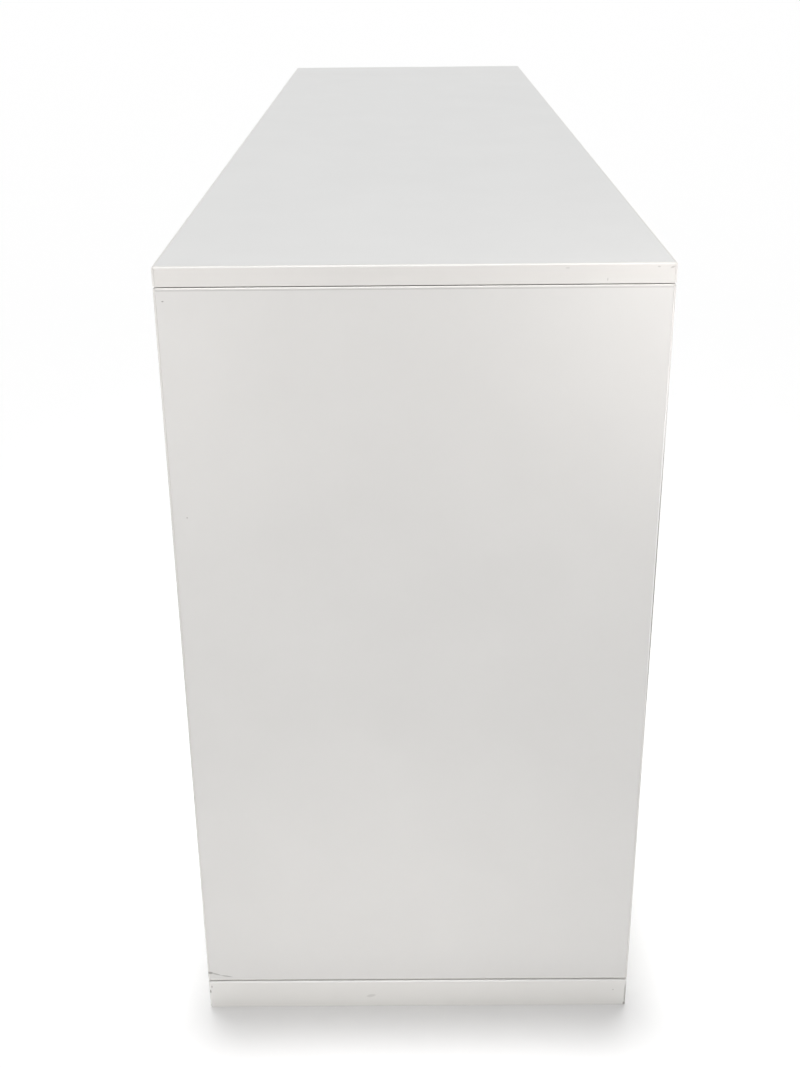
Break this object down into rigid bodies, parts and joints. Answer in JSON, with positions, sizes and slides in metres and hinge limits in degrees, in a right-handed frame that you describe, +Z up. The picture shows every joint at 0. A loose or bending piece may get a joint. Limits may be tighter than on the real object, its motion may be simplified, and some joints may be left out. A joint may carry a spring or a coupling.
{
  "type": "office sideboard",
  "caption": "Long low office sideboard of white melamine boards on a flush plinth, with inset sliding doors, shelves on pins, a centre partition, locks and screw levellers.",
  "frame": {"origin": "on the floor at the centre of the footprint", "axes": "+X along the length, +Y from the front to the back, +Z up"},
  "size_m": [1.6, 0.4, 0.72],
  "materials": {
    "melamine_board": "satin white melamine facing on particle board",
    "plinth_board": "satin white melamine facing on particle board",
    "edge_band": "satin white ABS edge banding",
    "back_board": "satin white melamine facing on thin board",
    "beech_dowel": "fluted beech",
    "zinc_fitting": "die-cast zinc",
    "plated_steel": "bright zinc plate",
    "anodised_aluminium": "natural anodised extrusion",
    "satin_pull": "satin pressed aluminium",
    "nickel_lock": "satin nickel plate",
    "wheel_plastic": "turned acetal",
    "carrier_plastic": "moulded nylon",
    "white_plastic": "moulded polyethylene",
    "buffer_rubber": "soft grey rubber"
  },
  "bodies": {
    "carcass": {"top_panel": "melamine_board", "top_banding": "edge_band", "left_side_panel": "melamine_board", "left_side_banding": "edge_band", "right_side_panel": "melamine_board", "right_side_banding": "edge_band", "bottom_panel": "melamine_board", "partition": "melamine_board", "left_shelf": "melamine_board", "right_shelf": "melamine_board", "inner_edge_bands": "edge_band", "back_panel": "back_board", "shelf_pins": "zinc_fitting", "plinth_left_end": "plinth_board", "plinth_right_end": "plinth_board", "plinth_front_rail": "plinth_board", "plinth_back_rail": "plinth_board", "plinth_cross_rail": "plinth_board", "leveller_sockets": "carrier_plastic", "leveller_caps": "white_plastic", "bottom_rail": "anodised_aluminium", "top_channel": "anodised_aluminium", "door_buffers": "buffer_rubber", "cam_housings": "zinc_fitting", "cam_bolts": "plated_steel", "dowels": "beech_dowel", "left_strike_plate": "plated_steel", "right_strike_plate": "plated_steel"},
    "left_door": {"left_door_panel": "melamine_board", "left_door_banding": "edge_band", "left_door_pull": "satin_pull", "left_door_carriers": "carrier_plastic", "left_door_axles": "plated_steel", "left_door_glides": "white_plastic", "left_lock_case": "nickel_lock"},
    "right_door": {"right_door_panel": "melamine_board", "right_door_banding": "edge_band", "right_door_pull": "satin_pull", "right_door_carriers": "carrier_plastic", "right_door_axles": "plated_steel", "right_door_glides": "white_plastic", "right_lock_case": "nickel_lock"},
    "left_wheel_a": {"left_door_wheel_a": "wheel_plastic"},
    "left_wheel_b": {"left_door_wheel_b": "wheel_plastic"},
    "right_wheel_a": {"right_door_wheel_a": "wheel_plastic"},
    "right_wheel_b": {"right_door_wheel_b": "wheel_plastic"},
    "left_lock": {"left_lock_core": "nickel_lock", "left_lock_hook": "plated_steel"},
    "right_lock": {"right_lock_core": "nickel_lock", "right_lock_hook": "plated_steel"},
    "leveller_front_left": {"leveller_front_left": "plated_steel"},
    "leveller_front_right": {"leveller_front_right": "plated_steel"},
    "leveller_back_left": {"leveller_back_left": "plated_steel"},
    "leveller_back_right": {"leveller_back_right": "plated_steel"}
  },
  "joints": [
    {"name": "left_door_slide", "type": "slide", "parent": "carcass", "child": "left_door", "axis": [1, 0, 0], "range_m": [0, 0.768]},
    {"name": "right_door_slide", "type": "slide", "parent": "carcass", "child": "right_door", "axis": [1, 0, 0], "range_m": [-0.768, 0]},
    {"name": "left_wheel_a_spin", "type": "hinge", "parent": "left_door", "child": "left_wheel_a", "pos_m": [-0.693, -0.169, 0.05955], "axis": [0, 1, 0], "continuous": true},
    {"name": "left_wheel_b_spin", "type": "hinge", "parent": "left_door", "child": "left_wheel_b", "pos_m": [-0.075, -0.169, 0.05955], "axis": [0, 1, 0], "continuous": true},
    {"name": "right_wheel_a_spin", "type": "hinge", "parent": "right_door", "child": "right_wheel_a", "pos_m": [0.075, -0.189, 0.05955], "axis": [0, 1, 0], "continuous": true},
    {"name": "right_wheel_b_spin", "type": "hinge", "parent": "right_door", "child": "right_wheel_b", "pos_m": [0.693, -0.189, 0.05955], "axis": [0, 1, 0], "continuous": true},
    {"name": "left_lock_turn", "type": "hinge", "parent": "left_door", "child": "left_lock", "pos_m": [-0.769, -0.177, 0.506], "axis": [0, -1, 0], "range_deg": [0, 90]},
    {"name": "right_lock_turn", "type": "hinge", "parent": "right_door", "child": "right_lock", "pos_m": [0.769, -0.197, 0.506], "axis": [0, 1, 0], "range_deg": [0, 90]},
    {"name": "leveller_front_left_screw", "type": "slide", "parent": "carcass", "child": "leveller_front_left", "axis": [0, 0, -1], "range_m": [0, 0.012]},
    {"name": "leveller_front_right_screw", "type": "slide", "parent": "carcass", "child": "leveller_front_right", "axis": [0, 0, -1], "range_m": [0, 0.012]},
    {"name": "leveller_back_left_screw", "type": "slide", "parent": "carcass", "child": "leveller_back_left", "axis": [0, 0, -1], "range_m": [0, 0.012]},
    {"name": "leveller_back_right_screw", "type": "slide", "parent": "carcass", "child": "leveller_back_right", "axis": [0, 0, -1], "range_m": [0, 0.012]}
  ],
  "couplings": [
    {"joint": "left_wheel_a_spin", "follows": "left_door_slide", "rad_per_m": 100},
    {"joint": "left_wheel_b_spin", "follows": "left_door_slide", "rad_per_m": 100},
    {"joint": "right_wheel_a_spin", "follows": "right_door_slide", "rad_per_m": 100},
    {"joint": "right_wheel_b_spin", "follows": "right_door_slide", "rad_per_m": 100}
  ]
}
